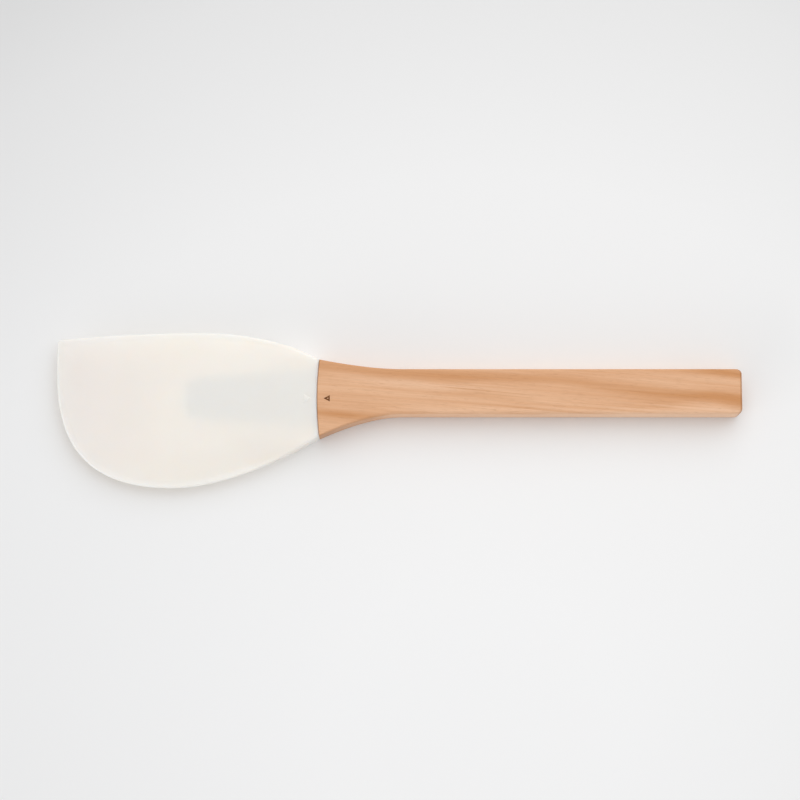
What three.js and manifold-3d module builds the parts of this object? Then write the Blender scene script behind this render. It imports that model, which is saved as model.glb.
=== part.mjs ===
// Silicone spatula: a soft blade pulled over the tongue of a moulded core, whose tenon is glued into a
// flat wooden handle. Millimetres, +Z up. It lies flat, the blade towards -X, its straight edge towards +Y.
// x = 0 is the crown of the seam between blade and handle, y = 0 the axis of the tongue, and z = 0 the plane
// half way through the thickness, about which every piece is symmetric.

import * as THREE from "three";
import { mergeVertices } from "three/addons/utils/BufferGeometryUtils.js";
import Module from "manifold-3d";

const wasm = await Module();
wasm.setup();
const { clamp, lerp, smoothstep } = THREE.MathUtils;

// Handle: a board with a routed outline.
const STOCK = 12; // thickness of the board
const HANDLE_LENGTH = 172.6;
const BAR_WIDTH = 18.6;
const BAR_OFFSET = 2.6; // the bar's axis above the tongue's axis, towards the straight edge
const FLARE_LENGTH = 34.3;
const FLARE_PULL = 21.6; // how far behind the shoulder the flare's end tangents meet
const BAR_ROUND = 1.5; // edge radius along the bar
const SHOULDER_ROUND = 0.8; // edge radius at the shoulder
const BUTT_CORNER = 2.2; // corner radius in plan at the butt
const BUTT_ROUND = 1.1; // edge radius round the butt

// Seam: the arched joint line between blade and handle.
const SHOULDER_HALF = 15.75; // half the width of the shoulder
const SEAM_SAG = 0.95; // how far the wood bulges into the blade
const SEAM_GAP = 0.3;

// Blade outline, from the shoulder forwards.
const BLADE_LENGTH = 106.4;
const CREST = 27.5; // highest point of the straight edge above the axis
const CREST_REACH = 48;
const TIP_TOP = 24.7; // upper end of the tip edge
const TIP_ROUND = 2.2;
const TIP_FOOT = 11.5; // where the tip edge runs into the belly
const BELLY = 36.3; // deepest point of the belly below the axis
const BELLY_REACH = 59;
const BELLY_FULLNESS = 0.68; // 0.55 is a quarter of an ellipse
const UPPER_SLOPE = 0.55; // how fast the blade widens as it leaves the shoulder
const LOWER_SLOPE = 0.62;
const UPPER_PULL = 12; // lengths of the tangents that shape the two long edges
const CREST_PULL = 23;
const TIP_PULL = 16.4;
const TIP_SLOPE = 0.1;
const LOWER_PULL = 16;
const BELLY_PULL = 20;

// Blade thickness.
const FLUSH_STEP = 0.2; // how much the silicone lies below the wood at the seam
const TIP_THICKNESS = 2.6;
const LIP_THICKNESS = 1.5;
const LIP_WIDTH = 2.4; // even, thin border all round the free edge
const BEVEL_WIDTH = 15; // over which the lip swells to the body
const RIM_ROUND = 1.2; // edge radius where the rim is thick
const RIM_RUN = 34; // over which the thick rim at the shoulder thins to the lip
const SEAM_BLEND = 12; // over which the arch of the seam fades from the rows of the blade

// Core: the tongue in the blade and the tenon in the handle.
const TONGUE_LENGTH = 53.2;
const TONGUE_FRONT_WIDTH = 15;
const TONGUE_CORNER = 4.5;
const TONGUE_ROUND = 1.1;
const RIM_WALL = 4; // silicone beside the tongue at the shoulder
const ROOT_SKIN = 1.6; // silicone above and below the tongue at the shoulder
const FRONT_SKIN = 1.3; // and at the tongue's front end
const SOCKET_FIT = 0.3; // clearance all round the tongue
const TENON_LENGTH = 38;
const WOOD_CHEEK = 3; // wood above and below the mortise
const WOOD_SIDE = 4.4; // wood beside the mortise
const KEY_COUNT = 3; // glue keys across each broad face of the tenon
const KEY_WIDTH = 2;
const KEY_DEPTH = 0.6;

// Adhesive that fills the mortise round the tenon.
const GLUE_LINE = 0.4;
const GLUE_END = 1.2; // behind the tenon's end
const GLUE_START = 1.6; // the bead stops this far inside the mortise's mouth

// Sampling of the curved surfaces.
const ARC_STEPS = 3;
const FLARE_STEPS = 9;
const BLADE_STEPS = 40;
const RIB_CROWDING = 1.5; // above 1, the blade's ribs stand closer towards the tip's corner
const EDGE_SAMPLES = 400;

const RIGHT_ANGLE = Math.PI / 2;
const BLADE_ROOT = STOCK - 2 * FLUSH_STEP;
const BAR_UPPER = BAR_OFFSET + BAR_WIDTH / 2;
const BAR_LOWER = BAR_OFFSET - BAR_WIDTH / 2;
const TENON_WIDTH = BAR_WIDTH - 2 * (WOOD_SIDE + GLUE_LINE);
const TENON_THICKNESS = STOCK - 2 * (WOOD_CHEEK + GLUE_LINE);
const TONGUE_ROOT_WIDTH = 2 * (SHOULDER_HALF - RIM_WALL - SOCKET_FIT);

// How far a rounded edge has dropped at a distance inside the edge.
function roundOver(distance, radius) {
  const inset = clamp(radius - distance, 0, radius);
  return radius - Math.sqrt(radius * radius - inset * inset);
}

// Distances inside a rounded edge at which its arc is sampled.
function arcSteps(radius) {
  return Array.from({ length: ARC_STEPS + 1 }, (_, i) => {
    return radius * (1 - Math.cos((i / ARC_STEPS) * RIGHT_ANGLE));
  });
}

// Distances from one side of a span to the other, with an arc's steps at both ends and even steps between.
function acrossSteps(span, radius, inner) {
  const arc = arcSteps(radius);
  const middle = Array.from({ length: inner }, (_, i) => lerp(radius, span - radius, (i + 1) / (inner + 1)));
  return [...arc, ...middle, ...arc.map((step) => span - step).reverse()];
}

// The seam's plan, as the place of the wood's front face across the shoulder.
function seamX(y) {
  return SEAM_SAG * Math.min(1, (y / SHOULDER_HALF) ** 2);
}

// Closed solid over a grid of points: x and y are its plan, and z the half thickness above and below z = 0.
// Rows follow each other towards -X, and the points of a row towards -Y.
function plate(grid) {
  const columns = grid[0].length;
  const upper = grid.flat();
  const points = [...upper, ...upper.map((p) => new THREE.Vector3(p.x, p.y, -p.z))];
  const top = (row, column) => row * columns + column;
  const bottom = (row, column) => upper.length + top(row, column);
  const faces = [];
  const quad = (a, b, c, d) => faces.push(a, b, c, a, c, d);
  const last = { row: grid.length - 1, column: columns - 1 };
  for (let r = 0; r < last.row; r++) {
    for (let c = 0; c < last.column; c++) {
      quad(top(r, c), top(r + 1, c), top(r + 1, c + 1), top(r, c + 1));
      quad(bottom(r, c), bottom(r, c + 1), bottom(r + 1, c + 1), bottom(r + 1, c));
    }
    quad(top(r, 0), bottom(r, 0), bottom(r + 1, 0), top(r + 1, 0));
    quad(top(r + 1, last.column), bottom(r + 1, last.column), bottom(r, last.column), top(r, last.column));
  }
  for (let c = 0; c < last.column; c++) {
    quad(top(0, c + 1), bottom(0, c + 1), bottom(0, c), top(0, c));
    quad(top(last.row, c), bottom(last.row, c), bottom(last.row, c + 1), top(last.row, c + 1));
  }
  return new THREE.BufferGeometry().setFromPoints(points).setIndex(faces);
}

// Box between two corners.
function block(low, high) {
  const size = high.clone().sub(low);
  return new THREE.BoxGeometry(1, 1, 1).translate(0.5, 0.5, 0.5).scale(...size).translate(...low);
}

// Solid of a closed geometry, with its shared vertices merged and its collapsed triangles left out.
function solid(geometry) {
  const bare = geometry.clone();
  bare.deleteAttribute("normal");
  bare.deleteAttribute("uv");
  const merged = mergeVertices(bare, 1e-4);
  const index = merged.index.array;
  const triVerts = [];
  for (let i = 0; i < index.length; i += 3) {
    const [a, b, c] = index.slice(i, i + 3);
    if (a !== b && b !== c && c !== a) triVerts.push(a, b, c);
  }
  return new wasm.Manifold(
    new wasm.Mesh({
      numProp: 3,
      vertProperties: merged.attributes.position.array,
      triVerts: new Uint32Array(triVerts),
    }),
  );
}

// Named mesh of a solid.
function piece(name, made, material) {
  const mesh = made.getMesh();
  const geometry = new THREE.BufferGeometry();
  geometry.setAttribute("position", new THREE.BufferAttribute(mesh.vertProperties, mesh.numProp));
  geometry.setIndex(new THREE.BufferAttribute(mesh.triVerts, 1));
  geometry.computeVertexNormals();
  const result = new THREE.Mesh(geometry, new THREE.MeshStandardMaterial(material));
  result.name = name;
  return result;
}

// Share of the flare's extra width that is left at a distance behind the shoulder. The flare is a parabola
// that leaves the shoulder at a slant and runs out level along the bar.
function flareShare(behind) {
  if (behind >= FLARE_LENGTH) return 0;
  const root = Math.sqrt(FLARE_PULL ** 2 + (FLARE_LENGTH - 2 * FLARE_PULL) * behind);
  return (1 - behind / (FLARE_PULL + root)) ** 2;
}

// One row of points across the handle, at a distance behind the shoulder.
function handleRow(behind) {
  const inner = 8;
  const share = flareShare(behind);
  const toButt = HANDLE_LENGTH - behind;
  const trim = roundOver(toButt, BUTT_CORNER);
  const upper = lerp(BAR_UPPER, SHOULDER_HALF, share) - trim;
  const lower = lerp(BAR_LOWER, -SHOULDER_HALF, share) + trim;
  const edge = lerp(BAR_ROUND, SHOULDER_ROUND, share);
  const ends = Math.max(roundOver(behind, SHOULDER_ROUND), roundOver(toButt, BUTT_ROUND));
  return acrossSteps(upper - lower, edge, inner).map((across) => {
    const y = upper - across;
    const inside = Math.min(across, upper - lower - across);
    const half = STOCK / 2 - Math.max(roundOver(inside, edge), ends);
    return new THREE.Vector3(behind + seamX(y) * share, y, half);
  });
}

function handleBlank() {
  const shoulder = arcSteps(SHOULDER_ROUND);
  const flare = Array.from({ length: FLARE_STEPS }, (_, i) => {
    return lerp(SHOULDER_ROUND, FLARE_LENGTH, (i + 1) / FLARE_STEPS);
  });
  const butt = [...arcSteps(BUTT_ROUND), ...arcSteps(BUTT_CORNER).filter((step) => step > BUTT_ROUND)];
  const rows = [...butt.map((step) => HANDLE_LENGTH - step), ...[...shoulder, ...flare].reverse()];
  return solid(plate(rows.map(handleRow)));
}

// Mortise in the shoulder, from a plane in front of it or inside it to the bottom.
function mortise(from) {
  const halfWidth = TENON_WIDTH / 2 + GLUE_LINE;
  const halfHeight = TENON_THICKNESS / 2 + GLUE_LINE;
  return solid(
    block(
      new THREE.Vector3(from, BAR_OFFSET - halfWidth, -halfHeight),
      new THREE.Vector3(TENON_LENGTH + GLUE_END, BAR_OFFSET + halfWidth, halfHeight),
    ),
  );
}

// Half thickness of the blade's body at a distance ahead of the shoulder: a plain wedge.
function bodyHalf(ahead) {
  return lerp(BLADE_ROOT, TIP_THICKNESS, clamp(ahead / BLADE_LENGTH, 0, 1)) / 2;
}

// Tongue, or the cavity round it when it is grown by a clearance. rear is where its root ends, measured from
// the seam.
function tongue(grow, rear) {
  const inner = 6;
  const length = TONGUE_LENGTH + grow;
  const corner = TONGUE_CORNER + grow;
  const edge = TONGUE_ROUND + grow;
  const fine = [...arcSteps(edge), ...arcSteps(corner).filter((step) => step > edge)];
  const row = (ahead) => {
    const along = ahead / TONGUE_LENGTH;
    const skin = lerp(ROOT_SKIN, FRONT_SKIN, along);
    const full = lerp(TONGUE_ROOT_WIDTH, TONGUE_FRONT_WIDTH, along) / 2 + grow;
    const half = full - roundOver(length - ahead, corner);
    return acrossSteps(2 * half, edge, inner).map((across) => {
      const inside = Math.min(across, 2 * half - across);
      const rounding = Math.max(roundOver(inside, edge), roundOver(length - ahead, edge));
      const y = half - across;
      const x = ahead > 0 ? -ahead : seamX(y) + rear;
      return new THREE.Vector3(x, y, bodyHalf(ahead) - skin - SOCKET_FIT + grow - rounding);
    });
  };
  const stations = [0, SEAM_SAG, SEAM_BLEND, ...fine.reverse().map((step) => length - step)];
  return solid(plate(stations.map(row)));
}

// Core: the tongue with its tenon, and glue keys cut across the tenon's broad faces.
function coreSolid() {
  const overlap = SEAM_SAG + SEAM_GAP;
  const halfWidth = TENON_WIDTH / 2;
  const halfHeight = TENON_THICKNESS / 2;
  const tenon = block(
    new THREE.Vector3(-overlap, BAR_OFFSET - halfWidth, -halfHeight),
    new THREE.Vector3(TENON_LENGTH, BAR_OFFSET + halfWidth, halfHeight),
  );
  let core = tongue(0, -SEAM_GAP).add(solid(tenon));
  const pitch = (TENON_LENGTH - GLUE_START) / (KEY_COUNT + 1);
  for (let i = 1; i <= KEY_COUNT; i++) {
    const x = GLUE_START + i * pitch - KEY_WIDTH / 2;
    for (const side of [-1, 1]) {
      const depths = [side * (halfHeight - KEY_DEPTH), side * (halfHeight + GLUE_LINE)].sort((a, b) => a - b);
      const key = block(
        new THREE.Vector3(x, BAR_OFFSET - TENON_WIDTH, depths[0]),
        new THREE.Vector3(x + KEY_WIDTH, BAR_OFFSET + TENON_WIDTH, depths[1]),
      );
      core = core.subtract(solid(key));
    }
  }
  return core;
}

// Free edge of the blade in plan: from the shoulder along the straight edge, round the tip and back along the
// belly.
function freeEdge() {
  const rear = SEAM_SAG - SEAM_GAP;
  const tip = -BLADE_LENGTH;
  const drop = TIP_FOOT + BELLY;
  const run = BLADE_LENGTH - BELLY_REACH;
  const shoulderRise = SHOULDER_HALF + UPPER_PULL * UPPER_SLOPE;
  const shoulderFall = -SHOULDER_HALF - LOWER_PULL * LOWER_SLOPE;
  const tipStart = tip + TIP_ROUND;
  const edge = new THREE.Path();
  edge.moveTo(rear, SHOULDER_HALF);
  edge.bezierCurveTo(rear - UPPER_PULL, shoulderRise, CREST_PULL - CREST_REACH, CREST, -CREST_REACH, CREST);
  edge.bezierCurveTo(
    -CREST_REACH - CREST_PULL, CREST,
    tipStart + TIP_PULL, TIP_TOP + TIP_PULL * TIP_SLOPE,
    tipStart, TIP_TOP,
  );
  edge.quadraticCurveTo(tip, TIP_TOP, tip, TIP_TOP - TIP_ROUND);
  edge.lineTo(tip, TIP_FOOT);
  edge.bezierCurveTo(
    tip, TIP_FOOT - BELLY_FULLNESS * drop,
    -BELLY_REACH - BELLY_FULLNESS * run, -BELLY,
    -BELLY_REACH, -BELLY,
  );
  edge.bezierCurveTo(BELLY_PULL - BELLY_REACH, -BELLY, rear - LOWER_PULL, shoulderFall, rear, -SHOULDER_HALF);
  return edge;
}

// Share of the free edge's length at the middle of the tip's corner.
function cornerShare(edge) {
  const straightEdge = 1;
  const corner = 2;
  const lengths = edge.getCurveLengths();
  return (lengths[straightEdge] + lengths[corner]) / 2 / lengths[lengths.length - 1];
}

// Least distance from a point to a polyline.
function distanceTo(line, point) {
  const nearest = new THREE.Vector3();
  let least = Infinity;
  for (let i = 1; i < line.length; i++) {
    new THREE.Line3(line[i - 1], line[i]).closestPointToPoint(point, true, nearest);
    least = Math.min(least, nearest.distanceTo(point));
  }
  return least;
}

// Half thickness of the blade at a point, from its distances to the free edge and to the seam.
function bladeHalf(point, inside) {
  const ahead = -point.x;
  const body = bodyHalf(ahead);
  const thinned = smoothstep(ahead, 0, RIM_RUN);
  const rim = lerp(body, LIP_THICKNESS / 2, thinned);
  const edge = Math.min(RIM_ROUND, rim);
  const bevel = lerp(RIM_ROUND, BEVEL_WIDTH, thinned);
  const rise = clamp((inside - LIP_WIDTH * thinned) / bevel, 0, 1);
  const crown = (body - rim) * (1 - (1 - rise) ** 2);
  const fromSeam = Math.max(0, seamX(point.y) - SEAM_GAP - point.x);
  return rim + crown - Math.max(roundOver(inside, edge), roundOver(fromSeam, SHOULDER_ROUND));
}

// Blade without its socket. Ribs run across it, from the straight edge to the belly, and close up at the
// tip's corner.
function bladeBlank() {
  const inner = 22;
  const edge = freeEdge();
  const corner = cornerShare(edge);
  const line = edge.getSpacedPoints(EDGE_SAMPLES).map((p) => new THREE.Vector3(p.x, p.y, 0));
  const upperLength = edge.getLength() * corner;
  const shares = [
    ...arcSteps(SHOULDER_ROUND).map((step) => step / upperLength),
    ...Array.from({ length: BLADE_STEPS }, (_, i) => {
      return lerp(SHOULDER_ROUND / upperLength, 1, 1 - (1 - (i + 1) / BLADE_STEPS) ** RIB_CROWDING);
    }),
  ];
  const grid = shares.map((share) => {
    const upper = edge.getPointAt(clamp(share * corner, 0, 1));
    const lower = edge.getPointAt(clamp(1 - share * (1 - corner), 0, 1));
    const span = upper.distanceTo(lower);
    return acrossSteps(span, Math.min(RIM_ROUND, span / 2), inner).map((across) => {
      const flat = upper.clone().lerp(lower, span ? across / span : 0);
      const arch = (SEAM_SAG - seamX(flat.y)) * (1 - smoothstep(-flat.x, 0, SEAM_BLEND));
      const point = new THREE.Vector3(flat.x - arch, flat.y, 0);
      const onEdge = across === 0 || across === span;
      point.z = bladeHalf(point, onEdge ? 0 : distanceTo(line, point));
      return point;
    });
  });
  return solid(plate(grid));
}

const handleSolid = handleBlank().subtract(mortise(-SEAM_SAG));
const core = coreSolid();
const adhesive = mortise(GLUE_START).subtract(core);
const blade = bladeBlank().subtract(tongue(SOCKET_FIT, SEAM_SAG));

const spatula = new THREE.Group();
spatula.add(
  piece("wooden_handle", handleSolid, { color: 0xdcaa82, roughness: 0.55, metalness: 0 }),
  piece("nylon_core", core, { color: 0xdedfdc, roughness: 0.5, metalness: 0 }),
  piece("tenon_adhesive", adhesive, { color: 0xd8c9a0, roughness: 0.3, metalness: 0 }),
  piece("silicone_blade", blade, { color: 0xf1ece6, roughness: 0.45, metalness: 0 }),
);

// The origin is the middle of the footprint, on the surface that the spatula lies on.
const box = new THREE.Box3().setFromObject(spatula);
const middle = box.getCenter(new THREE.Vector3());
spatula.position.set(-middle.x, -middle.y, -box.min.z);

export default spatula;
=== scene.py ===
"""Silicone spatula, lying flat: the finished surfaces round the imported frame."""

import math

import bmesh
import bpy
import numpy as np
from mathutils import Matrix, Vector, kdtree


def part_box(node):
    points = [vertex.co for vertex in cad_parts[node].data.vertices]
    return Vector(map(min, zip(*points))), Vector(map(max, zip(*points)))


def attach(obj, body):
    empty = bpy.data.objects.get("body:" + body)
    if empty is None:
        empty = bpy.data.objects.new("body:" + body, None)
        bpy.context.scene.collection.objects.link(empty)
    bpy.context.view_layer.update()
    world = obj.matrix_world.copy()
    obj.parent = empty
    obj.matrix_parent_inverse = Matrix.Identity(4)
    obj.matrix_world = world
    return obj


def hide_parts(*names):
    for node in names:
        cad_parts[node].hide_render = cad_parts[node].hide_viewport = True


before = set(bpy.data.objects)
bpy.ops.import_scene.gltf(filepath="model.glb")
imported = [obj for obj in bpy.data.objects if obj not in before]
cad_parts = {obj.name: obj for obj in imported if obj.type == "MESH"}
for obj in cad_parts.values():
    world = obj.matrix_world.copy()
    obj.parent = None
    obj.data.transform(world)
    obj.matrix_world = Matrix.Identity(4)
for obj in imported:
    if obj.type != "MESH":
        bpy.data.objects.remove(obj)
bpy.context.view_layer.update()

MM = 0.001

# Sizes of the part in millimetres, as in its source.
STOCK = 12.0
HANDLE_LENGTH = 172.6
BAR_WIDTH = 18.6
BAR_OFFSET = 2.6
FLARE_LENGTH = 34.3
FLARE_PULL = 21.6
BAR_ROUND = 1.5
SHOULDER_ROUND = 0.8
BUTT_CORNER = 2.2
BUTT_ROUND = 1.1
SHOULDER_HALF = 15.75
SEAM_SAG = 0.95
SEAM_GAP = 0.3
SEAM_SHOWN = 0.06
SEAM_ROUND = 0.4
BLADE_LENGTH = 106.4
CREST = 27.5
CREST_REACH = 48.0
TIP_TOP = 24.7
TIP_ROUND = 2.2
TIP_FOOT = 11.5
BELLY = 36.3
BELLY_REACH = 59.0
BELLY_FULLNESS = 0.68
UPPER_SLOPE = 0.55
LOWER_SLOPE = 0.62
UPPER_PULL = 12.0
CREST_PULL = 23.0
TIP_PULL = 16.4
TIP_SLOPE = 0.1
LOWER_PULL = 16.0
BELLY_PULL = 20.0
FLUSH_STEP = 0.2
TIP_THICKNESS = 2.6
LIP_THICKNESS = 1.5
LIP_WIDTH = 2.4
BEVEL_WIDTH = 15.0
RIM_ROUND = 1.2
RIM_RUN = 34.0
SEAM_BLEND = 12.0
TONGUE_LENGTH = 53.2
TONGUE_FRONT_WIDTH = 15.0
TONGUE_CORNER = 4.5
TONGUE_ROUND = 1.1
RIM_WALL = 4.0
ROOT_SKIN = 1.6
FRONT_SKIN = 1.3
SOCKET_FIT = 0.3
TENON_LENGTH = 38.0
WOOD_CHEEK = 3.0
WOOD_SIDE = 4.4
KEY_COUNT = 3
KEY_WIDTH = 2.0
KEY_DEPTH = 0.6
GLUE_LINE = 0.4
GLUE_END = 1.2
GLUE_START = 1.6

BLADE_ROOT = STOCK - 2 * FLUSH_STEP
BAR_UPPER = BAR_OFFSET + BAR_WIDTH / 2
BAR_LOWER = BAR_OFFSET - BAR_WIDTH / 2
TENON_WIDTH = BAR_WIDTH - 2 * (WOOD_SIDE + GLUE_LINE)
TENON_THICKNESS = STOCK - 2 * (WOOD_CHEEK + GLUE_LINE)
TONGUE_ROOT_WIDTH = 2 * (SHOULDER_HALF - RIM_WALL - SOCKET_FIT)

# Marks that show how blade and handle line up, on the upper face: tip and base along X, and half the height.
WOOD_MARK = (2.7, 5.2, 1.3)
WOOD_ISLAND = (4.0, 4.65, 0.3)
WOOD_MARK_DEPTH = 0.3
BLADE_MARK = (-2.3, -5.4, 1.8)
BLADE_MARK_HEIGHT = 0.35
BLADE_MARK_ROUND = 0.2
MARK_LINE = -0.3

# Streaks of the wood's grain: both ends in plan, half the width, and strength. Noises fray and swing them.
DARK_STREAKS = (
    ((-30.0, 14.6), (150.0, 3.0), 3.4, 0.4),
    ((85.0, 8.4), (255.0, -8.6), 3.8, 0.66),
    ((125.0, 14.6), (205.0, 6.4), 3.0, 0.7),
    ((35.0, 4.2), (95.0, -2.2), 2.4, 0.25),
    ((-12.0, -5.6), (34.0, -8.4), 2.8, 0.5),
)
PALE_STREAKS = (
    ((-8.0, 9.6), (80.0, 2.6), 2.6, 0.5),
    ((130.0, -1.0), (200.0, -8.0), 3.0, 0.7),
    ((20.0, -4.4), (105.0, -6.6), 2.4, 0.5),
    ((60.0, -6.2), (215.0, -7.0), 3.8, 0.8),
)
STREAK_FRAY = 1.1
STREAK_WAVE = 2.5
STREAK_EDGE = (0.1, 0.8)

# Noises of the wood, in waves per metre along each axis, the grain's angle to the X axis, and the shares of
# the bands and the lines in the tone.
BAND_WAVES = (7, 150, 60)
BAND_SHIFT = (0.4, 0.2, 0.1)
LINE_WAVES = (12, 900, 300)
LINE_SHIFT = (3.1, 1.7, 0.6)
FIBRE_WAVES = (90, 3600, 3600)
FLECK_WAVES = (320, 5200, 5200)
FLECK_SHIFT = (5.0, 2.0, 1.0)
SWING_WAVES = (22, 60, 60)
GRAIN_SLOPE = math.radians(4.5)
BAND_SHARE = 0.6
LINE_SHARE = 0.4

# Tones of the wood, as 8-bit sRGB.
PALE_STREAK = (236, 195, 162)
DARK_STREAK = (191, 127, 68)
PORE = (160, 104, 64)
# Painted light: a paler tone on the faces turned to the sides, for the light that falls on them.
SIDE_PAINTED_LIGHT = (242, 208, 180)
END_GRAIN = (140, 86, 48)

# Where the pores begin and are full in their noise, and the same for the painted light on the side faces and
# for the end grain, by how far a face is turned to the side or to the end. A strength goes with each.
PORE_EDGE = (0.68, 0.76)
PORE_STRENGTH = 0.2
SIDE_LIGHT_EDGE = (0.85, 1.0)
SIDE_LIGHT_STRENGTH = 0.32
END_EDGE = (0.1, 0.45)
END_STRENGTH = 0.42

# Tones that a noise mixes, each at its place in the noise.
WOOD_TONES = ((0.36, (207, 152, 108)), (0.48, (218, 167, 127)), (0.64, (228, 182, 145)))
BURNT_TONES = ((0.35, (98, 54, 16)), (0.7, (146, 90, 40)))
SILICONE_TONES = ((0.3, (240, 235, 228)), (0.7, (243, 238, 231)))
NYLON_TONES = ((0.3, (230, 231, 229)), (0.7, (236, 237, 235)))
ADHESIVE_TONES = ((0.3, (205, 186, 140)), (0.7, (222, 206, 168)))

# The range that most of a noise lies in.
NOISE_RANGE = (0.3, 0.7)

# Share of the light that the silicone lets through to the floor and to the core, at the thin tip and at the
# root, and the tint of that light.
TIP_PASSES = 0.74
ROOT_PASSES = 0.62
PASSED_TINT = (1.0, 0.945, 0.865, 1)

# Painted shade on the silicone at distances behind the tip: darker and cooler towards the tip, for the grey
# floor that shows through where it is thin.
TIP_PAINTED_SHADE = (
    (0.0, (242, 245, 247)),
    (4.0, (247, 247, 250)),
    (12.0, (249, 249, 252)),
    (45.0, (255, 255, 255)),
)

# Light of the world on the part, its tint, and the brightness of the backdrop.
WORLD_LIGHT = 0.51
WORLD_TINT = (0.975, 0.99, 1.015, 1)
BACKDROP = 0.82

# The floor: half its width, and the middle and the reach of a pool of painted light on it, in metres. Its
# greys, painted paler towards the pool's middle and darker away from it, and its fade into the backdrop go
# by the nearness to the pool's middle, which is 1 there and 0 at the reach.
FLOOR_HALF = 3.0
LIGHT_POOL_MIDDLE = (0.03, -0.13, 0)
LIGHT_POOL_REACH = 1.2
FLOOR_PAINTED_LIGHT = ((0.7, 0.69), (0.733, 0.755), (0.81, 0.85), (0.95, 0.91))
FLOOR_FADE = (0.6, 0.1)

# Lamps, in metres and watts.
SOFTBOX = {"size": (2.0, 1.7), "energy": 15.0, "colour": (1.0, 0.985, 0.96), "place": (0.4, 0.66, 1.05)}
FILL = {"size": (2.0, 0.6), "energy": 13.0, "colour": (1.0, 1.0, 1.0), "place": (-1.35, -1.2, 0.4)}

# Camera: the point it looks at, its distance and the width in view there, in metres, its angle to the floor,
# and the width of its sensor in millimetres.
CAMERA_AIM = (0.0006, 0.00424, 0.006)
CAMERA_DISTANCE = 1.0
VIEW_WIDTH = 0.3264
CLIP_START = 0.01
CAMERA_ELEVATION = math.radians(82)
SENSOR_WIDTH = 36

# Steps of the meshes: round an edge, across a row of points, and rows along a piece. The blade's rows crowd
# towards its tip.
ARC_STEPS = 6
HANDLE_ACROSS = 40
FLARE_ROWS = 40
BAR_ROWS = 60
TONGUE_ACROSS = 24
TONGUE_ROWS = 24
BLADE_ACROSS = 70
BLADE_ROWS = 150
BLADE_CROWDING = 1.5
MARK_SEGMENTS = 3

# Points that draw the blade's edge: on a curve, on the tip's corner and its flat, and on the whole line.
CURVE_POINTS = 400
CORNER_POINTS = 40
TIP_POINTS = 100
OUTLINE_POINTS = 6000

# Distances in metres below which points are one point, or a face is a sliver.
WELD = 1e-7
SLIVER = 1e-8

# How far a solid reaches past the face that it cuts or joins, in millimetres.
OVERSHOOT = 1.0

# Edges that turn by more than this are drawn sharp.
SHARP_ANGLE = math.radians(38)

# The sizes are measured from the crown of the seam, the tongue's axis and the middle plane of the thickness.
handle_low, handle_high = (Vector(corner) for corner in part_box("wooden_handle"))
ORIGIN = Vector((
    handle_high.x - HANDLE_LENGTH * MM,
    (handle_low.y + handle_high.y) / 2,
    (handle_low.z + handle_high.z) / 2,
))


def smoothstep(value, low, high):
    t = np.clip((value - low) / (high - low), 0, 1)
    return t * t * (3 - 2 * t)


def lerp(a, b, t):
    return a + (b - a) * t


def round_over(distance, radius):
    """How far a rounded edge has dropped at a distance inside the edge."""
    inset = np.clip(radius - distance, 0, radius)
    return radius - np.sqrt(radius * radius - inset * inset)


def arc_steps(radius):
    angles = np.linspace(0, math.pi / 2, ARC_STEPS + 1)
    return radius * (1 - np.cos(angles))


def across_steps(span, radius, inner):
    """Distances across a span, with an arc's steps at both ends and even steps between."""
    arc = arc_steps(radius)
    middle = np.linspace(radius, span - radius, inner + 2)[1:-1]
    return np.concatenate([arc, middle, (span - arc)[::-1]])


def seam_x(y):
    return SEAM_SAG * np.minimum(1, (y / SHOULDER_HALF) ** 2)


def new_object(name, mesh):
    obj = bpy.data.objects.new(name, mesh)
    bpy.context.scene.collection.objects.link(obj)
    return obj


def placed(point):
    """A point of the sizes above, in the frame."""
    return ORIGIN + Vector(point) * MM


def plate(name, grid):
    """Closed solid over rows of points (x, y, half thickness), symmetric about the middle plane."""
    rows, columns = len(grid), len(grid[0])
    bm = bmesh.new()
    sides = []
    for sign in (1, -1):
        sides.append([[bm.verts.new(placed((x, y, sign * z))) for x, y, z in row] for row in grid])
    top, bottom = sides
    for r in range(rows - 1):
        for c in range(columns - 1):
            bm.faces.new((top[r][c], top[r + 1][c], top[r + 1][c + 1], top[r][c + 1]))
            bm.faces.new((bottom[r][c], bottom[r][c + 1], bottom[r + 1][c + 1], bottom[r + 1][c]))
        bm.faces.new((top[r][0], bottom[r][0], bottom[r + 1][0], top[r + 1][0]))
        bm.faces.new((top[r + 1][-1], bottom[r + 1][-1], bottom[r][-1], top[r][-1]))
    for c in range(columns - 1):
        bm.faces.new((top[0][c + 1], bottom[0][c + 1], bottom[0][c], top[0][c]))
        bm.faces.new((top[-1][c], bottom[-1][c], bottom[-1][c + 1], top[-1][c + 1]))
    bmesh.ops.remove_doubles(bm, verts=bm.verts, dist=WELD)
    bmesh.ops.dissolve_degenerate(bm, edges=bm.edges, dist=SLIVER)
    bmesh.ops.recalc_face_normals(bm, faces=bm.faces)
    mesh = bpy.data.meshes.new(name)
    bm.to_mesh(mesh)
    bm.free()
    return new_object(name, mesh)


def prism(name, outline, low, high):
    """Upright prism over a plan outline."""
    bm = bmesh.new()
    floor = [bm.verts.new(placed((x, y, low))) for x, y in outline]
    roof = [bm.verts.new(placed((x, y, high))) for x, y in outline]
    bm.faces.new(floor)
    bm.faces.new(roof)
    for i, corner in enumerate(floor):
        j = (i + 1) % len(floor)
        bm.faces.new((corner, floor[j], roof[j], roof[i]))
    bmesh.ops.recalc_face_normals(bm, faces=bm.faces)
    mesh = bpy.data.meshes.new(name)
    bm.to_mesh(mesh)
    bm.free()
    return new_object(name, mesh)


def block(name, low, high):
    corners = [(low[0], low[1]), (high[0], low[1]), (high[0], high[1]), (low[0], high[1])]
    return prism(name, corners, low[2], high[2])


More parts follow.
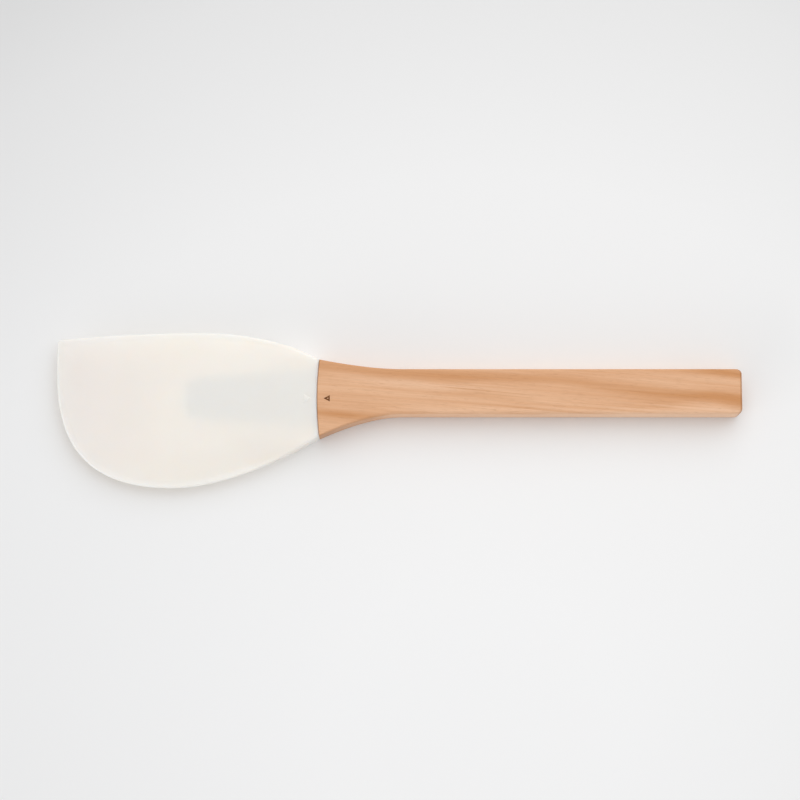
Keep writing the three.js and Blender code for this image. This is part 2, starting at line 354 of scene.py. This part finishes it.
def bake_modifiers(obj):
    graph = bpy.context.evaluated_depsgraph_get()
    mesh = bpy.data.meshes.new_from_object(obj.evaluated_get(graph))
    obj.modifiers.clear()
    obj.data = mesh


def combine(obj, other, operation):
    """Joins another solid to obj or cuts it out of obj, and removes it."""
    modifier = obj.modifiers.new("combine", "BOOLEAN")
    modifier.operation = operation
    modifier.solver = "EXACT"
    modifier.material_mode = "TRANSFER"
    modifier.object = other
    bake_modifiers(obj)
    bpy.data.objects.remove(other)


def soften(obj, width):
    """Rounds every sharp edge of a small solid."""
    modifier = obj.modifiers.new("soften", "BEVEL")
    modifier.width = width * MM
    modifier.segments = MARK_SEGMENTS
    modifier.limit_method = "ANGLE"
    bake_modifiers(obj)


def shade(obj):
    obj.data.shade_smooth()
    obj.data.set_sharp_from_angle(angle=SHARP_ANGLE)


def flare_share(behind):
    """Share of the flare's extra width that is left at a distance behind the shoulder."""
    if behind >= FLARE_LENGTH:
        return 0.0
    root = math.sqrt(FLARE_PULL**2 + (FLARE_LENGTH - 2 * FLARE_PULL) * behind)
    return (1 - behind / (FLARE_PULL + root)) ** 2


def handle_row(behind):
    share = flare_share(behind)
    to_butt = HANDLE_LENGTH - behind
    trim = round_over(to_butt, BUTT_CORNER)
    upper = lerp(BAR_UPPER, SHOULDER_HALF, share) - trim
    lower = lerp(BAR_LOWER, -SHOULDER_HALF, share) + trim
    edge = lerp(BAR_ROUND, SHOULDER_ROUND, share)
    ends = max(round_over(behind, SEAM_ROUND), round_over(to_butt, BUTT_ROUND))
    across = across_steps(upper - lower, edge, HANDLE_ACROSS)
    y = upper - across
    inside = np.minimum(across, upper - lower - across)
    half = STOCK / 2 - np.maximum(round_over(inside, edge), ends)
    return np.column_stack([behind + seam_x(y) * share, y, half])


def make_handle():
    butt = np.unique(np.concatenate([arc_steps(BUTT_ROUND), arc_steps(BUTT_CORNER)]))
    flare = np.linspace(SEAM_ROUND, FLARE_LENGTH, FLARE_ROWS)[1:]
    bar = np.linspace(FLARE_LENGTH, HANDLE_LENGTH - BUTT_CORNER, BAR_ROWS)[1:-1]
    rows = np.concatenate([arc_steps(SEAM_ROUND), flare, bar, (HANDLE_LENGTH - butt)[::-1]])[::-1]
    return plate("handle_wood", [handle_row(behind) for behind in rows])


def mortise(start):
    half_width = TENON_WIDTH / 2 + GLUE_LINE
    half_height = TENON_THICKNESS / 2 + GLUE_LINE
    low = (start, BAR_OFFSET - half_width, -half_height)
    return block("mortise", low, (TENON_LENGTH + GLUE_END, BAR_OFFSET + half_width, half_height))


def body_half(ahead):
    return lerp(BLADE_ROOT, TIP_THICKNESS, np.clip(ahead / BLADE_LENGTH, 0, 1)) / 2


def tongue_row(ahead, grow, rear):
    length = TONGUE_LENGTH + grow
    edge = TONGUE_ROUND + grow
    along = ahead / TONGUE_LENGTH
    full = lerp(TONGUE_ROOT_WIDTH, TONGUE_FRONT_WIDTH, along) / 2 + grow
    half = full - round_over(length - ahead, TONGUE_CORNER + grow)
    across = across_steps(2 * half, edge, TONGUE_ACROSS)
    inside = np.minimum(across, 2 * half - across)
    rounding = np.maximum(round_over(inside, edge), round_over(length - ahead, edge))
    y = half - across
    x = np.full_like(y, -ahead) if ahead > 0 else seam_x(y) + rear
    height = body_half(ahead) - lerp(ROOT_SKIN, FRONT_SKIN, along) - SOCKET_FIT + grow
    return np.column_stack([x, y, height - rounding])


def make_tongue(name, grow, rear):
    length = TONGUE_LENGTH + grow
    corner = TONGUE_CORNER + grow
    front = np.unique(np.concatenate([arc_steps(TONGUE_ROUND + grow), arc_steps(corner)]))
    shank = np.linspace(SEAM_SAG, length - corner, TONGUE_ROWS)[:-1]
    rows = np.concatenate([[0], shank, (length - front)[::-1]])
    return plate(name, [tongue_row(ahead, grow, rear) for ahead in rows])


def make_core(material):
    core = make_tongue("core_nylon", 0.0, -SEAM_GAP)
    core.data.materials.append(material)
    half_width = TENON_WIDTH / 2
    half_height = TENON_THICKNESS / 2
    low = (-SEAM_SAG - SEAM_GAP, BAR_OFFSET - half_width, -half_height)
    tenon = block("tenon", low, (TENON_LENGTH, BAR_OFFSET + half_width, half_height))
    combine(core, tenon, "UNION")
    pitch = (TENON_LENGTH - GLUE_START) / (KEY_COUNT + 1)
    for i in range(1, KEY_COUNT + 1):
        x = GLUE_START + i * pitch - KEY_WIDTH / 2
        for side in (-1, 1):
            depths = sorted((side * (half_height - KEY_DEPTH), side * (half_height + GLUE_LINE)))
            key = block(
                "key",
                (x, BAR_OFFSET - TENON_WIDTH, depths[0]),
                (x + KEY_WIDTH, BAR_OFFSET + TENON_WIDTH, depths[1]),
            )
            combine(core, key, "DIFFERENCE")
    return core


def bezier(points, count=CURVE_POINTS):
    t = np.linspace(0, 1, count)[:, None]
    a, b, c, d = (np.array(point, float) for point in points)
    return a * (1 - t) ** 3 + 3 * b * t * (1 - t) ** 2 + 3 * c * t**2 * (1 - t) + d * t**3


def free_edge():
    """The straight and the bellied edge, each from the shoulder to the middle of the tip's corner."""
    rear = SEAM_SAG - SEAM_SHOWN
    tip = -BLADE_LENGTH
    tip_start = tip + TIP_ROUND
    shoulder_rise = SHOULDER_HALF + UPPER_PULL * UPPER_SLOPE
    shoulder_fall = -SHOULDER_HALF - LOWER_PULL * LOWER_SLOPE
    crest = (-CREST_REACH, CREST)
    deepest = (-BELLY_REACH, -BELLY)
    foot = (tip, TIP_FOOT)
    fullness = BELLY_FULLNESS * np.array([BLADE_LENGTH - BELLY_REACH, TIP_FOOT + BELLY])
    corner_in = np.array([tip_start, TIP_TOP])
    corner_out = np.array([tip, TIP_TOP - TIP_ROUND])
    corner = np.array([tip, TIP_TOP])
    corner_pulls = [lerp(end, corner, 2 / 3) for end in (corner_in, corner_out)]
    bend = bezier([corner_in, *corner_pulls, corner_out], CORNER_POINTS)
    middle = CORNER_POINTS // 2
    straight = np.vstack([
        bezier([
            (rear, SHOULDER_HALF),
            (rear - UPPER_PULL, shoulder_rise),
            (CREST_PULL - CREST_REACH, CREST),
            crest,
        ]),
        bezier([
            crest,
            (-CREST_REACH - CREST_PULL, CREST),
            (tip_start + TIP_PULL, TIP_TOP + TIP_PULL * TIP_SLOPE),
            corner_in,
        ])[1:],
        bend[1:middle + 1],
    ])
    belly = np.vstack([
        bezier([
            (rear, -SHOULDER_HALF),
            (rear - LOWER_PULL, shoulder_fall),
            (BELLY_PULL - BELLY_REACH, -BELLY),
            deepest,
        ]),
        bezier([
            deepest,
            (-BELLY_REACH - fullness[0], -BELLY),
            (tip, TIP_FOOT - fullness[1]),
            foot,
        ])[1:],
        np.linspace(foot, corner_out, TIP_POINTS)[1:],
        bend[middle:-1][::-1],
    ])
    return straight, belly


def along_line(line, shares):
    """Points at shares of a polyline's length."""
    steps = np.concatenate([[0], np.cumsum(np.linalg.norm(np.diff(line, axis=0), axis=1))])
    wanted = np.asarray(shares) * steps[-1]
    return np.column_stack([np.interp(wanted, steps, line[:, axis]) for axis in (0, 1)]), steps[-1]


def distances(line, points):
    """Distance from each point to the nearest of many points on a line."""
    tree = kdtree.KDTree(len(line))
    for i, (x, y) in enumerate(line):
        tree.insert((x, y, 0), i)
    tree.balance()
    return np.array([tree.find((x, y, 0))[2] for x, y in points])


def blade_half(x, y, inside):
    """Half thickness of the blade, from the distances to the free edge and to the seam."""
    ahead = -x
    body = body_half(ahead)
    thinned = smoothstep(ahead, 0, RIM_RUN)
    rim = lerp(body, LIP_THICKNESS / 2, thinned)
    edge = np.minimum(RIM_ROUND, rim)
    bevel = lerp(RIM_ROUND, BEVEL_WIDTH, thinned)
    rise = np.clip((inside - LIP_WIDTH * thinned) / bevel, 0, 1)
    crown = (body - rim) * (1 - (1 - rise) ** 2)
    from_seam = np.maximum(0, seam_x(y) - SEAM_SHOWN - x)
    return rim + crown - np.maximum(round_over(inside, edge), round_over(from_seam, SEAM_ROUND))


def make_blade():
    straight, belly = free_edge()
    whole = np.vstack([straight, belly[::-1]])
    outline, _ = along_line(whole, np.linspace(0, 1, OUTLINE_POINTS))
    _, upper_length = along_line(straight, [0])
    start = SEAM_ROUND / upper_length
    ease = 1 - (1 - np.linspace(0, 1, BLADE_ROWS + 1)[1:]) ** BLADE_CROWDING
    shares = np.concatenate([arc_steps(SEAM_ROUND) / upper_length, lerp(start, 1, ease)])
    uppers, _ = along_line(straight, shares)
    lowers, _ = along_line(belly, shares)
    grid = []
    for upper, lower in zip(uppers, lowers):
        span = float(np.linalg.norm(upper - lower))
        across = across_steps(span, min(RIM_ROUND, span / 2), BLADE_ACROSS)
        flat = lerp(upper, lower, (across / span if span else across)[:, None])
        arch = (SEAM_SAG - seam_x(flat[:, 1])) * (1 - smoothstep(-flat[:, 0], 0, SEAM_BLEND))
        x = flat[:, 0] - arch
        y = flat[:, 1]
        inside = distances(outline, zip(x, y))
        inside[0] = inside[-1] = 0
        grid.append(np.column_stack([x, y, blade_half(x, y, inside)]))
    return plate("blade_silicone", grid)


def triangle(mark):
    """Plan outline of a mark."""
    tip, base, half = mark
    return [(tip, MARK_LINE), (base, MARK_LINE + half), (base, MARK_LINE - half)]


class Graph:
    """Short forms for building a material's nodes."""

    def __init__(self, name):
        self.material = bpy.data.materials.new(name)
        self.material.use_nodes = True
        self.tree = self.material.node_tree
        self.shader = self.tree.nodes["Principled BSDF"]

    def node(self, kind, inputs=None, **settings):
        node = self.tree.nodes.new(kind)
        for key, value in settings.items():
            setattr(node, key, value)
        for key, value in (inputs or {}).items():
            self.feed(node.inputs[key], value)
        return node

    def feed(self, socket, value):
        if isinstance(value, bpy.types.NodeSocket):
            self.tree.links.new(value, socket)
        else:
            socket.default_value = value

    def set(self, **values):
        for key, value in values.items():
            self.feed(self.shader.inputs[key.replace("_", " ")], value)

    def position(self, scale, turn=0.0, shift=(0, 0, 0)):
        """The piece's own coordinates, turned about Z and scaled to waves per metre."""
        coordinate = self.node("ShaderNodeTexCoord")
        turned = self.node(
            "ShaderNodeMapping", {"Vector": coordinate.outputs["Object"], "Rotation": (0, 0, turn)}
        )
        mapping = self.node(
            "ShaderNodeMapping", {"Vector": turned.outputs[0], "Scale": scale, "Location": shift}
        )
        return mapping.outputs[0]

    def noise(self, vector, detail=3.0, roughness=0.5, distortion=0.0):
        node = self.node("ShaderNodeTexNoise", {
            "Vector": vector,
            "Scale": 1.0,
            "Detail": detail,
            "Roughness": roughness,
            "Distortion": distortion,
        })
        return node.outputs["Fac"]

    def wavy(self, swing):
        """The piece's own coordinates, with a slow swing of some mm along Y."""
        plain = self.node("ShaderNodeTexCoord").outputs["Object"]
        wave = self.span(self.noise(self.position(SWING_WAVES), 1.0), 0.0, 1.0, -swing * MM, swing * MM)
        offset = self.node("ShaderNodeCombineXYZ", {"Y": wave})
        return self.node("ShaderNodeVectorMath", {0: plain, 1: offset.outputs[0]}).outputs[0]

    def streak(self, vector, start, end, half_width):
        """1 along the middle of a long soft ellipse between two plan points in mm, 0 outside it."""
        tail = placed((*start, 0))
        run = placed((*end, 0)) - tail
        mapping = self.node("ShaderNodeMapping", {
            "Vector": vector,
            "Location": tail + run / 2,
            "Rotation": (0, 0, math.atan2(run.y, run.x)),
            "Scale": (run.length / 2, half_width * MM, 1),
        }, vector_type="TEXTURE")
        return self.nearness(mapping.outputs[0])

    def nearness(self, vector):
        """1 at the origin of the coordinates, falling to 0 at a distance of 1."""
        gradient = self.node("ShaderNodeTexGradient", {"Vector": vector}, gradient_type="SPHERICAL")
        return gradient.outputs["Fac"]

    def normal(self):
        return self.node("ShaderNodeTexCoord").outputs["Normal"]

    def ramp(self, factor, stops):
        node = self.node("ShaderNodeValToRGB", {"Fac": factor})
        while len(node.color_ramp.elements) < len(stops):
            node.color_ramp.elements.new(0.5)
        for element, (place, colour) in zip(node.color_ramp.elements, stops):
            element.position = place
            element.color = (*colour, 1)
        return node.outputs["Color"]

    def span(self, value, low, high, to_low=0.0, to_high=1.0):
        node = self.node("ShaderNodeMapRange", {
            "Value": value, "From Min": low, "From Max": high, "To Min": to_low, "To Max": to_high,
        })
        return node.outputs["Result"]

    def between(self, noise, low, high):
        """A noise, spread from a low to a high value."""
        return self.span(noise, *NOISE_RANGE, low, high)

    def mix(self, factor, a, b, blend="MIX"):
        node = self.node("ShaderNodeMix", data_type="RGBA", blend_type=blend)
        colours = [socket for socket in node.inputs if socket.type == "RGBA"]
        self.feed(node.inputs[0], factor)
        self.feed(colours[0], a)
        self.feed(colours[1], b)
        return next(socket for socket in node.outputs if socket.type == "RGBA")

    def math(self, operation, a, b=0.0):
        node = self.node("ShaderNodeMath", operation=operation)
        self.feed(node.inputs[0], a)
        self.feed(node.inputs[1], b)
        return node.outputs[0]

    def bump(self, height, distance, strength=1.0):
        node = self.node("ShaderNodeBump", {"Height": height, "Distance": distance, "Strength": strength})
        return node.outputs["Normal"]


def linear(red, green, blue):
    """A colour read as 8-bit sRGB, for the shader."""
    def channel(value):
        value /= 255
        return value / 12.92 if value <= 0.04045 else ((value + 0.055) / 1.055) ** 2.4

    return tuple(channel(value) for value in (red, green, blue))


def paint(tone):
    return (*linear(*tone), 1)


def toned(stops):
    """Stops of a ramp, from places and 8-bit tones."""
    return [(place, linear(*tone)) for place, tone in stops]


def wood_material():
    g = Graph("wood")
    bands = g.noise(g.position(BAND_WAVES, GRAIN_SLOPE, BAND_SHIFT), 2.0, 0.5, 0.3)
    lines = g.noise(g.position(LINE_WAVES, GRAIN_SLOPE, LINE_SHIFT), 3.0, 0.55, 0.2)
    fibres = g.noise(g.position(FIBRE_WAVES, GRAIN_SLOPE), 2.0, 0.5)
    flecks = g.noise(g.position(FLECK_WAVES, GRAIN_SLOPE, FLECK_SHIFT), 0.0)
    grain = g.math("ADD", g.math("MULTIPLY", bands, BAND_SHARE), g.math("MULTIPLY", lines, LINE_SHARE))
    colour = g.ramp(grain, toned(WOOD_TONES))
    fray = g.math("MULTIPLY", g.math("SUBTRACT", lines, 0.5), STREAK_FRAY)
    wavy = g.wavy(STREAK_WAVE)
    for streaks, tone in ((PALE_STREAKS, PALE_STREAK), (DARK_STREAKS, DARK_STREAK)):
        for start, end, half_width, strength in streaks:
            shown = g.math("ADD", g.streak(wavy, start, end, half_width), fray)
            colour = g.mix(g.span(shown, *STREAK_EDGE, 0.0, strength), colour, paint(tone))
    fine = g.between(fibres, 0.95, 1.04)
    fine_grey = g.node("ShaderNodeCombineColor", {0: fine, 1: fine, 2: fine})
    colour = g.mix(1.0, colour, fine_grey.outputs[0], "MULTIPLY")
    pore = g.span(flecks, *PORE_EDGE)
    colour = g.mix(g.math("MULTIPLY", pore, PORE_STRENGTH), colour, paint(PORE))
    facing = g.node("ShaderNodeSeparateXYZ", {0: g.normal()})
    # Painted light: faces turned to the sides are painted paler.
    side_facing = g.math("ABSOLUTE", facing.outputs["Y"])
    colour = g.mix(g.span(side_facing, *SIDE_LIGHT_EDGE, 0.0, SIDE_LIGHT_STRENGTH), colour, paint(SIDE_PAINTED_LIGHT))
    end_grain = g.math("ABSOLUTE", facing.outputs["X"])
    colour = g.mix(g.span(end_grain, *END_EDGE, 0.0, END_STRENGTH), colour, paint(END_GRAIN))
    g.set(Base_Color=colour, Roughness=g.between(fibres, 0.5, 0.62), Specular_IOR_Level=0.25)
    g.set(Normal=g.bump(g.math("ADD", fibres, g.math("MULTIPLY", pore, -0.8)), 0.00004, 0.5))
    return g.material


def burnt_material():
    g = Graph("burnt_wood")
    soot = g.noise(g.position((900, 900, 900)), 3.0)
    g.set(Base_Color=g.ramp(soot, toned(BURNT_TONES)), Roughness=0.8, Normal=g.bump(soot, 0.00008))
    return g.material


def silicone_material():
    g = Graph("silicone")
    cloud = g.noise(g.position((30, 30, 30)), 2.0)
    skin = g.noise(g.position((1500, 1500, 1500)), 2.0)
    place = g.node("ShaderNodeSeparateXYZ", {0: g.node("ShaderNodeTexCoord").outputs["Object"]})
    tip, root = (placed((x, 0, 0)).x for x in (-BLADE_LENGTH, 0))
    behind_tip = g.span(place.outputs["X"], tip, root)
    # Painted shade: the silicone's colour darkens towards the thin tip.
    painted_shade = g.ramp(behind_tip, toned((behind / BLADE_LENGTH, tone) for behind, tone in TIP_PAINTED_SHADE))
    colour = g.mix(1.0, g.ramp(cloud, toned(SILICONE_TONES)), painted_shade, "MULTIPLY")
    g.set(Base_Color=colour, Roughness=g.between(skin, 0.42, 0.5), Specular_IOR_Level=0.4)
    g.set(Subsurface_Weight=1.0, Subsurface_Radius=(1.0, 0.9, 0.8), Subsurface_Scale=0.0035, IOR=1.41)
    g.set(Normal=g.bump(skin, 0.00001, 0.4))
    passed = g.node("ShaderNodeBsdfTransparent", {"Color": PASSED_TINT})
    passing = g.span(behind_tip, 0.0, 1.0, TIP_PASSES, ROOT_PASSES)
    lamp_rays = g.math("MULTIPLY", g.node("ShaderNodeLightPath").outputs["Is Shadow Ray"], passing)
    mixed = g.node("ShaderNodeMixShader", {0: lamp_rays, 1: g.shader.outputs[0], 2: passed.outputs[0]})
    g.feed(g.tree.nodes["Material Output"].inputs["Surface"], mixed.outputs[0])
    return g.material


def nylon_material():
    g = Graph("nylon")
    grain = g.noise(g.position((1200, 1200, 1200)), 3.0)
    flow = g.noise(g.position((20, 120, 120)), 2.0)
    g.set(Base_Color=g.ramp(flow, toned(NYLON_TONES)), Roughness=g.between(grain, 0.45, 0.6))
    g.set(Normal=g.bump(grain, 0.00002, 0.4))
    return g.material


def adhesive_material():
    g = Graph("adhesive")
    cloud = g.noise(g.position((300, 300, 300)), 3.0)
    g.set(Base_Color=g.ramp(cloud, toned(ADHESIVE_TONES)), Roughness=g.between(cloud, 0.25, 0.4))
    return g.material


def seen_rays(tree):
    """1 for rays that show the surroundings, straight or reflected, and 0 for those that light the part."""
    path = tree.nodes.new("ShaderNodeLightPath")
    seen = path.outputs["Is Camera Ray"]
    for kind in ("Is Glossy Ray", "Is Transmission Ray"):
        either = tree.nodes.new("ShaderNodeMath")
        either.operation = "MAXIMUM"
        tree.links.new(seen, either.inputs[0])
        tree.links.new(path.outputs[kind], either.inputs[1])
        seen = either.outputs[0]
    return seen


def floor_material():
    g = Graph("floor")
    light_pool = g.node("ShaderNodeMapping", {
        "Vector": g.node("ShaderNodeTexCoord").outputs["Object"],
        "Location": LIGHT_POOL_MIDDLE,
        "Scale": (LIGHT_POOL_REACH, LIGHT_POOL_REACH, LIGHT_POOL_REACH),
    }, vector_type="TEXTURE")
    nearness = g.nearness(light_pool.outputs[0])
    # Painted light: the floor's grey is paler towards the pool's middle and darker away from it.
    colour = g.ramp(nearness, [(place, (grey, grey, grey)) for place, grey in FLOOR_PAINTED_LIGHT])
    g.set(Base_Color=colour, Roughness=0.85, Specular_IOR_Level=0.2)
    glow = g.node("ShaderNodeEmission", {"Color": (BACKDROP, BACKDROP, BACKDROP, 1)})
    far = g.math("MULTIPLY", g.span(nearness, *FLOOR_FADE), seen_rays(g.tree))
    mixed = g.node("ShaderNodeMixShader", {0: far, 1: g.shader.outputs[0], 2: glow.outputs[0]})
    g.feed(g.tree.nodes["Material Output"].inputs["Surface"], mixed.outputs[0])
    return g.material


def build_handle():
    handle = make_handle()
    handle.data.materials.append(wood_material())
    combine(handle, mortise(-SEAM_SAG), "DIFFERENCE")
    top = STOCK / 2
    cutter = prism("mark_cutter", triangle(WOOD_MARK), top - WOOD_MARK_DEPTH, top + OVERSHOOT)
    cutter.data.materials.append(burnt_material())
    island = prism("island", triangle(WOOD_ISLAND), top - OVERSHOOT, top + 2 * OVERSHOOT)
    combine(cutter, island, "DIFFERENCE")
    combine(handle, cutter, "DIFFERENCE")
    shade(handle)
    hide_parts("wooden_handle")
    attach(handle, "handle")


def build_core():
    core = make_core(nylon_material())
    shade(core)
    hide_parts("nylon_core")
    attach(core, "handle")


def build_blade():
    blade = make_blade()
    silicone = silicone_material()
    blade.data.materials.append(silicone)
    combine(blade, make_tongue("socket", SOCKET_FIT, SEAM_SAG), "DIFFERENCE")
    surface = float(body_half(-BLADE_MARK[1]))
    mark = prism("mark", triangle(BLADE_MARK), surface - OVERSHOOT, surface + BLADE_MARK_HEIGHT)
    mark.data.materials.append(silicone)
    soften(mark, BLADE_MARK_ROUND)
    combine(blade, mark, "UNION")
    shade(blade)
    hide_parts("silicone_blade")
    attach(blade, "blade")


def build_adhesive():
    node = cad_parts["tenon_adhesive"]
    node.data.materials.clear()
    node.data.materials.append(adhesive_material())


def build_floor():
    mesh = bpy.data.meshes.new("floor")
    signs = ((-1, -1), (1, -1), (1, 1), (-1, 1))
    corners = [(x * FLOOR_HALF, y * FLOOR_HALF, 0) for x, y in signs]
    mesh.from_pydata(corners, [], [(0, 1, 2, 3)])
    mesh.materials.append(floor_material())
    new_object("floor", mesh)


def area_lamp(name, size, energy, colour, place):
    """Area lamp that looks at the part."""
    lamp = bpy.data.lights.new(name, "AREA")
    lamp.shape = "RECTANGLE"
    lamp.size, lamp.size_y = size
    lamp.energy = energy
    lamp.color = colour
    source = new_object(name, lamp)
    source.location = place
    source.rotation_euler = (-source.location).to_track_quat("-Z", "Y").to_euler()
    return source


def build_lights():
    world = bpy.data.worlds.new("studio")
    world.use_nodes = True
    tree = world.node_tree
    background = tree.nodes["Background"]
    background.inputs["Color"].default_value = WORLD_TINT
    strength = tree.nodes.new("ShaderNodeMapRange")
    strength.inputs["To Min"].default_value = WORLD_LIGHT
    strength.inputs["To Max"].default_value = BACKDROP
    tree.links.new(seen_rays(tree), strength.inputs["Value"])
    tree.links.new(strength.outputs[0], background.inputs["Strength"])
    bpy.context.scene.world = world
    area_lamp("softbox", **SOFTBOX)
    fill = area_lamp("fill", **FILL)
    fill.visible_glossy = False


def build_camera():
    lens = bpy.data.cameras.new("camera")
    camera = new_object("camera", lens)
    away = Vector((0, -math.cos(CAMERA_ELEVATION), math.sin(CAMERA_ELEVATION)))
    camera.location = Vector(CAMERA_AIM) + CAMERA_DISTANCE * away
    camera.rotation_euler = (math.pi / 2 - CAMERA_ELEVATION, 0, 0)
    lens.sensor_width = SENSOR_WIDTH
    lens.lens = SENSOR_WIDTH * CAMERA_DISTANCE / VIEW_WIDTH
    lens.clip_start = CLIP_START
    bpy.context.scene.camera = camera


build_handle()
build_core()
build_blade()
build_adhesive()
build_floor()
build_lights()
build_camera()
bpy.context.scene.view_settings.view_transform = "Standard"
